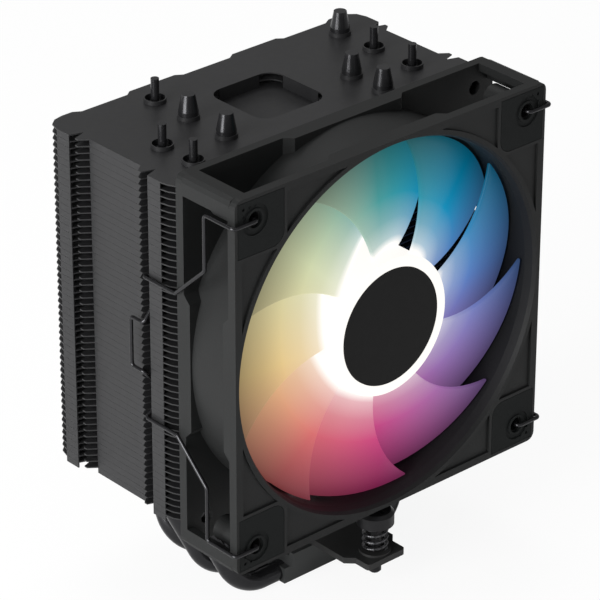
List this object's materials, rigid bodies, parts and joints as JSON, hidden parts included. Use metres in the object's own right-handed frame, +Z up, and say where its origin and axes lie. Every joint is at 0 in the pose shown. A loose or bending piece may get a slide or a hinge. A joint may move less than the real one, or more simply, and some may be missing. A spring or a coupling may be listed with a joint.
{
  "type": "cpu tower cooler",
  "caption": "Single-tower CPU cooler with a folded fin stack on bent heat pipes, a clipped 120 mm fan and a spring-screw crossbar",
  "frame": {"origin": "middle of the contact face that sits on the processor", "axes": "+Z up away from the processor, -Y towards the fan, +X to the right seen from the fan side"},
  "size_m": [0.1242, 0.0849, 0.1532],
  "materials": {
    "fin_aluminium": "black satin",
    "pipe_plating": "black nickel on copper, gloss",
    "base_aluminium": "milled",
    "bar_steel": "satin black",
    "screw_steel": "zinc",
    "frame_plastic": "matte",
    "pad_rubber": "matte",
    "bearing_brass": "bright",
    "core_steel": "plain",
    "coil_copper": "enamelled copper",
    "board": "matte",
    "led_white": "gloss",
    "frosted_plastic": "frosted",
    "hub_black": "satin",
    "magnet": "matte",
    "shaft_steel": "ground",
    "clip_steel": "bright",
    "black_steel": "black oxide",
    "spring_steel": "plated",
    "washer_plastic": "matte"
  },
  "bodies": {
    "cooler": {"top_fin": "fin_aluminium", "second_fin": "fin_aluminium", "fin_stack": "fin_aluminium", "heat_pipe_1": "pipe_plating", "heat_pipe_2": "pipe_plating", "heat_pipe_3": "pipe_plating", "heat_pipe_4": "pipe_plating", "heat_pipe_5": "pipe_plating", "base_block": "base_aluminium", "mounting_crossbar": "bar_steel", "crossbar_screws": "screw_steel", "fan_frame": "frame_plastic", "front_pads": "pad_rubber", "rear_pads": "pad_rubber", "bearing_tube": "bearing_brass", "stator_core": "core_steel", "stator_coils": "coil_copper", "fan_pcb": "board", "led_ring": "led_white", "front_spring": "spring_steel", "rear_spring": "spring_steel", "spring_washers": "washer_plastic"},
    "clip_left": {"clip_left": "clip_steel"},
    "clip_right": {"clip_right": "clip_steel"},
    "front_ring": {"front_retaining_ring": "screw_steel"},
    "rear_ring": {"rear_retaining_ring": "screw_steel"},
    "front_screw": {"front_spring_screw": "black_steel"},
    "rear_screw": {"rear_spring_screw": "black_steel"},
    "fan_rotor": {"impeller": "frosted_plastic", "hub_disc": "hub_black", "magnet_ring": "magnet", "rotor_yoke": "core_steel", "rotor_shaft": "shaft_steel"}
  },
  "joints": [
    {"name": "fan_spin", "type": "hinge", "parent": "cooler", "child": "fan_rotor", "pos_m": [0, -0.03, 0.0906], "axis": [0, 1, 0], "continuous": true},
    {"name": "clip_left_swing", "type": "hinge", "parent": "cooler", "child": "clip_left", "pos_m": [-0.0525, -0.0429, 0.0906], "axis": [0, 0, 1], "range_deg": [0, 15]},
    {"name": "clip_right_swing", "type": "hinge", "parent": "cooler", "child": "clip_right", "pos_m": [0.0525, -0.0429, 0.0906], "axis": [0, 0, -1], "range_deg": [0, 15]},
    {"name": "front_screw_travel", "type": "slide", "parent": "cooler", "child": "front_ring", "axis": [0, 0, -1], "range_m": [0, 0.004], "deforming": ["front_spring"]},
    {"name": "front_screw_turn", "type": "hinge", "parent": "front_ring", "child": "front_screw", "pos_m": [0, -0.03575, 0.01], "axis": [0, 0, 1], "continuous": true},
    {"name": "rear_screw_travel", "type": "slide", "parent": "cooler", "child": "rear_ring", "axis": [0, 0, -1], "range_m": [0, 0.004], "deforming": ["rear_spring"]},
    {"name": "rear_screw_turn", "type": "hinge", "parent": "rear_ring", "child": "rear_screw", "pos_m": [0, 0.03575, 0.01], "axis": [0, 0, 1], "continuous": true}
  ]
}
